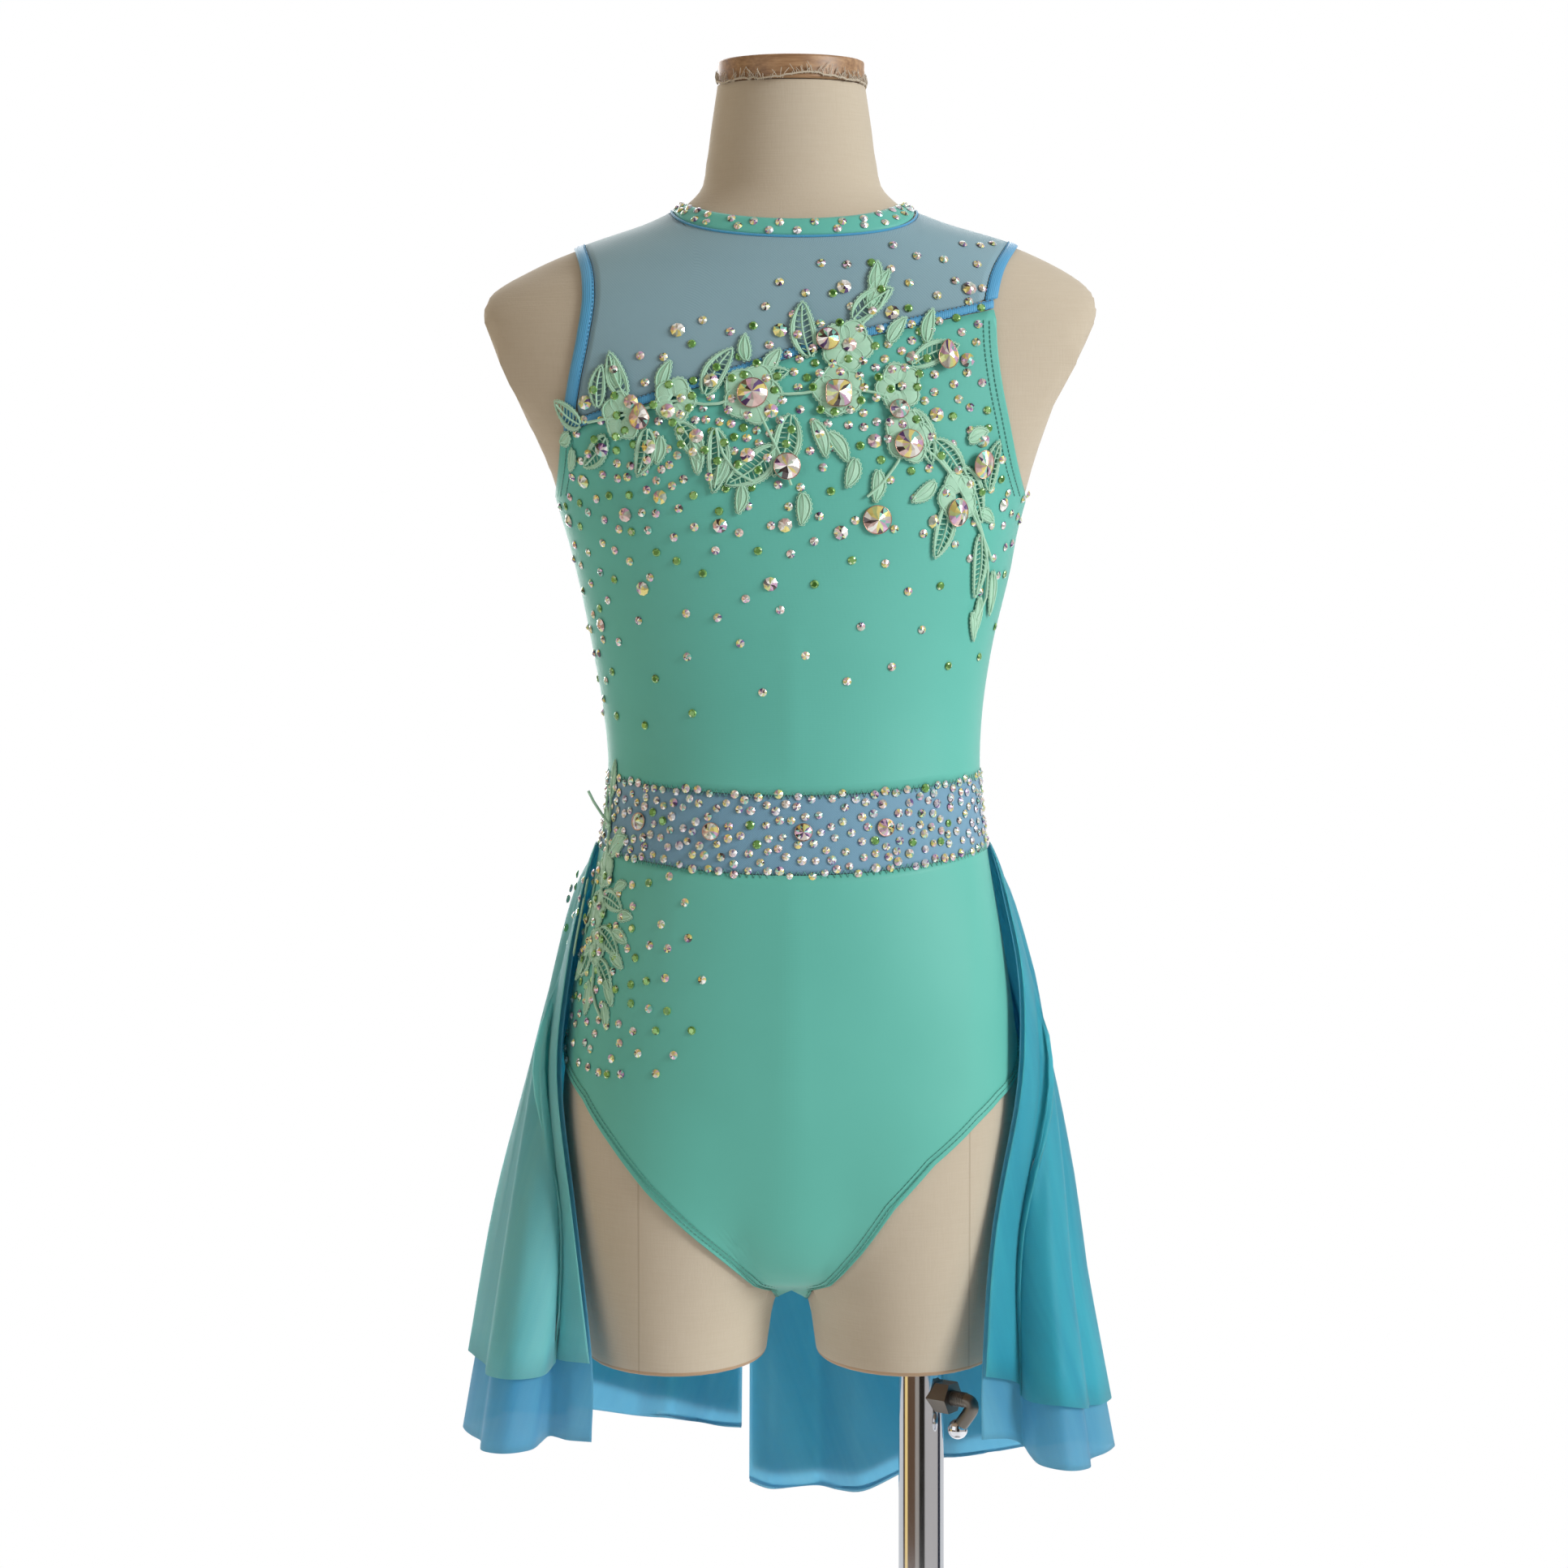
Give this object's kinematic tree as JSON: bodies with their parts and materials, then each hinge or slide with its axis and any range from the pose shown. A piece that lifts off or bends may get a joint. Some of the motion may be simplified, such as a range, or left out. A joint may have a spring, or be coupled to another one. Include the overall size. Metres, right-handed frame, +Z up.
{
  "type": "lyrical dance costume on a dress form with a stand",
  "caption": "Sleeveless mesh-yoke leotard with an open two-layer skirt, lace and crystals, on a limbless linen dress form with a pole stand.",
  "frame": {"origin": "centre of the base plate's underside, on the pole's axis", "axes": "+Z up along the pole; the costume's front faces -Y and its wearer's left is +X"},
  "size_m": [0.421, 0.336, 1.2475],
  "materials": {
    "linen": "woven linen over the form",
    "wood": "satin",
    "chrome": "polished",
    "steel": "satin",
    "spandex": "smooth stretch knit with a soft sheen",
    "mesh_cloth": "fine power mesh over a lining",
    "binding": "folded elastic",
    "under_cloth": "soft mesh",
    "outer_cloth": "soft mesh",
    "lace_thread": "guipure thread",
    "glass": "faceted, foiled at the back"
  },
  "bodies": {
    "stand": {"base_plate": "steel", "stand_tube": "chrome", "clamp_nut": "chrome"},
    "clamp": {"clamp_screw": "chrome"},
    "rod": {"form_rod": "chrome"},
    "form": {"dress_form": "linen", "neck_cap": "wood", "armhole_binding_left": "binding", "armhole_binding_right": "binding", "bodice_back": "spandex", "bodice_front": "spandex", "brief_back": "spandex", "brief_front": "spandex", "chest_elastic_back": "binding", "chest_elastic_front": "binding", "neck_binding": "spandex", "waist_insert_back": "mesh_cloth", "waist_insert_front": "mesh_cloth", "yoke_back": "mesh_cloth", "yoke_front": "mesh_cloth", "skirt_outer_left": "outer_cloth", "skirt_outer_right": "outer_cloth", "skirt_under_left": "under_cloth", "skirt_under_right": "under_cloth", "lace_chest": "lace_thread", "lace_hip": "lace_thread", "stone_drop_1": "glass", "stone_round_2": "glass", "stone_square_3": "glass", "stone_round_4": "glass", "stone_round_5": "glass", "stone_round_6": "glass", "stone_round_7": "glass", "stone_oval_8": "glass", "stone_drop_9": "glass", "stone_round_10": "glass", "stone_oval_11": "glass", "stone_round_12": "glass", "stone_round_13": "glass", "stone_round_14": "glass", "stone_round_15": "glass"}
  },
  "joints": [
    {"name": "form_height", "type": "slide", "parent": "stand", "child": "rod", "axis": [0, 0, 1], "range_m": [0, 0.25]},
    {"name": "form_turn", "type": "hinge", "parent": "rod", "child": "form", "pos_m": [0, 0, 0.6], "axis": [0, 0, 1], "continuous": true},
    {"name": "clamp_turn", "type": "hinge", "parent": "stand", "child": "clamp", "pos_m": [0, 0, 0.507], "axis": [0.8192, -0.5736, 0], "continuous": true}
  ]
}
